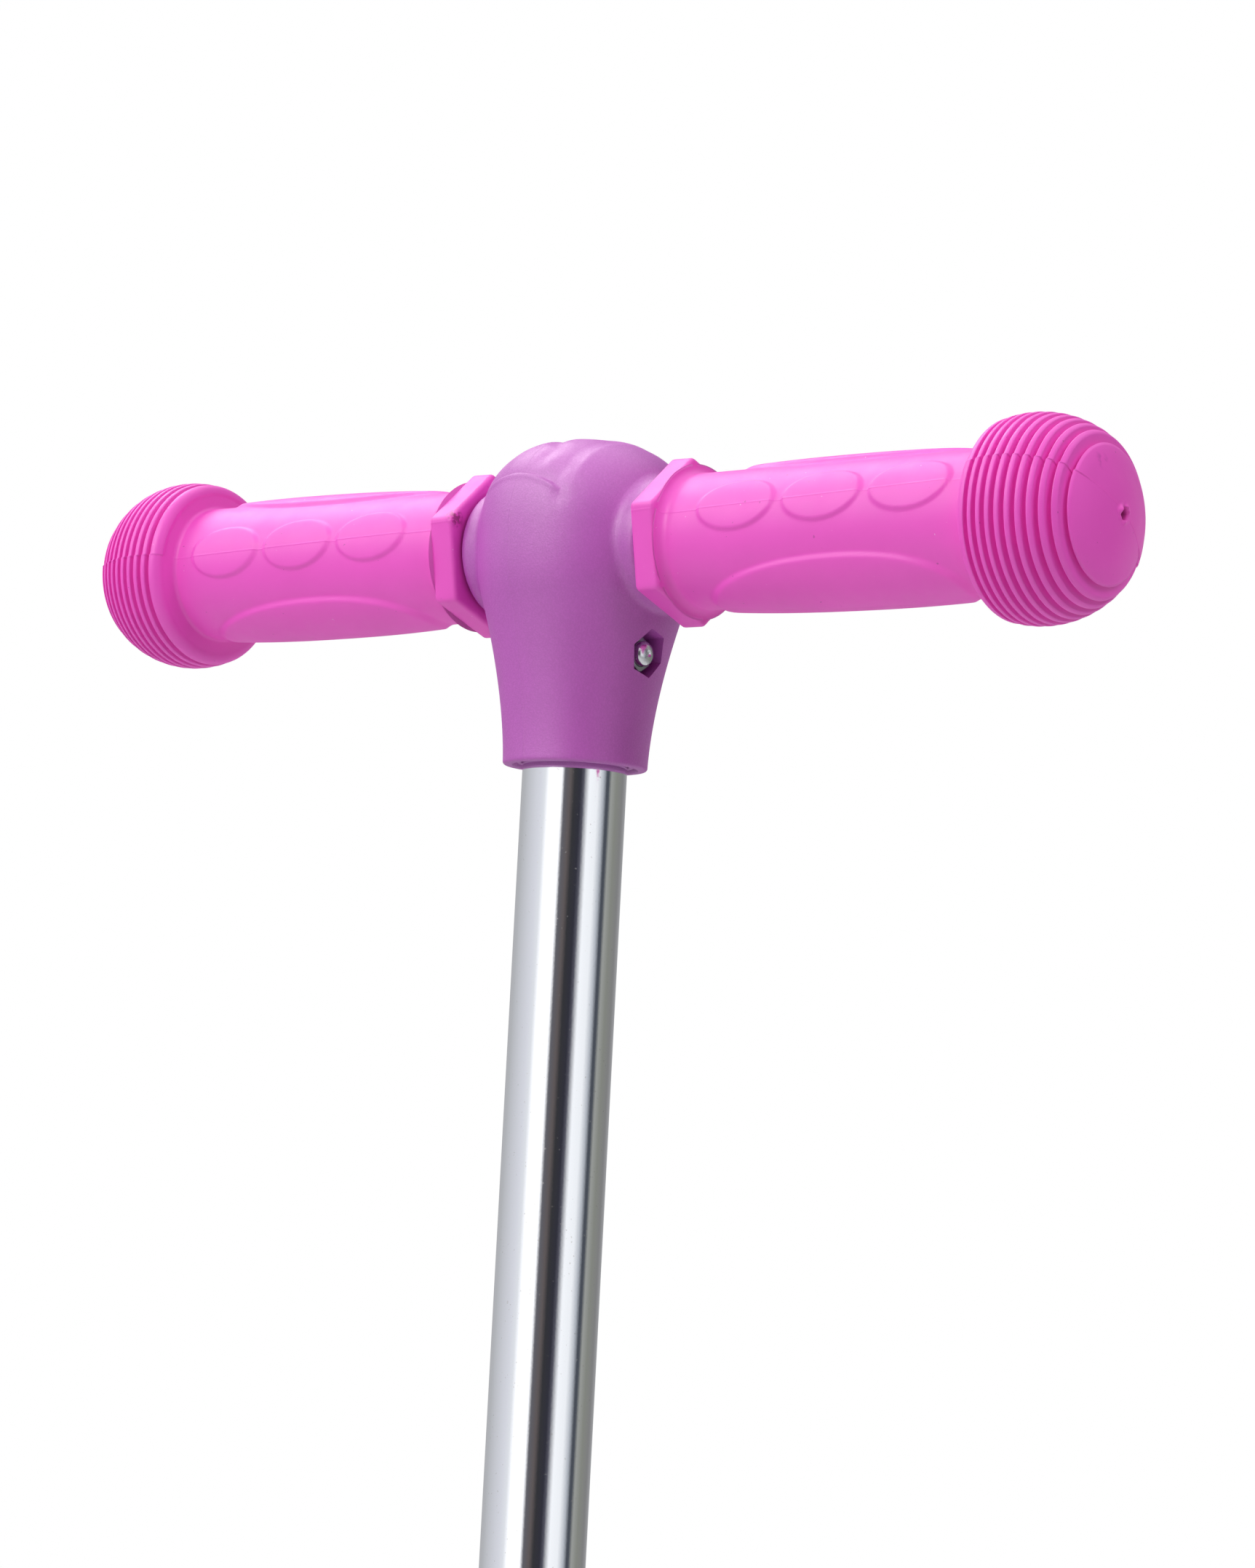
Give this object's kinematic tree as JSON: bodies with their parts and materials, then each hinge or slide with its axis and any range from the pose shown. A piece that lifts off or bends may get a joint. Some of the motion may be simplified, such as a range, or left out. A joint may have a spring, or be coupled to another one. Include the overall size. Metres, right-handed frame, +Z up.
{
  "type": "pogo stick",
  "caption": "Children's pogo stick: moulded T-handle with ribbed soft grips, round bright tube, two clamped footrests, exposed compression spring, sliding plunger and rubber tip.",
  "frame": {"origin": "centre of the rubber tip's flat bottom face, on the ground", "axes": "+Z up the stick to the handle, +X along the crossbar to the right grip, -Y forward, away from the rider"},
  "size_m": [0.3012, 0.0526, 0.9062],
  "materials": {
    "purple_plastic": "matte, fine moulded grain",
    "pink_pvc": "soft satin moulded PVC",
    "bright_tube": "bright polished",
    "steel": "plated steel",
    "spring_steel": "plated spring wire",
    "zinc": "bright zinc plate",
    "black_nylon": "moulded nylon",
    "black_rubber": "matte black rubber"
  },
  "bodies": {
    "frame": {"handle_hub": "purple_plastic", "hub_sleeve": "purple_plastic", "hub_bolt": "zinc", "hub_washer": "zinc", "hub_nut": "zinc", "crossbar": "steel", "grip_right": "pink_pvc", "grip_left": "pink_pvc", "outer_tube": "bright_tube", "bracket_front": "steel", "bracket_rear": "steel", "clamp_bolt_left": "zinc", "clamp_bolt_right": "zinc", "clamp_washer_left": "zinc", "clamp_washer_right": "zinc", "clamp_nut_left": "zinc", "clamp_nut_right": "zinc", "footrest_left": "purple_plastic", "footrest_right": "purple_plastic", "footrest_bolt_left": "zinc", "footrest_bolt_right": "zinc", "footrest_nut_left": "zinc", "footrest_nut_right": "zinc", "tread_pad_left": "pink_pvc", "tread_pad_right": "pink_pvc", "lower_bushing": "black_nylon", "bushing_screw_front": "zinc", "bushing_screw_back": "zinc", "top_out_bumper": "black_rubber", "spring": "spring_steel"},
    "plunger": {"plunger_shaft": "bright_tube", "upper_bushing": "black_nylon", "bushing_pin": "zinc", "spring_collar": "zinc", "collar_pin": "steel", "tip_washer": "zinc", "rubber_tip": "black_rubber", "tip_clip": "steel"}
  },
  "joints": [
    {"name": "plunger_slide", "type": "slide", "parent": "frame", "child": "plunger", "axis": [0, 0, 1], "range_m": [0, 0.07], "stiffness_N_per_m": 9000, "deforming": ["spring"]}
  ]
}
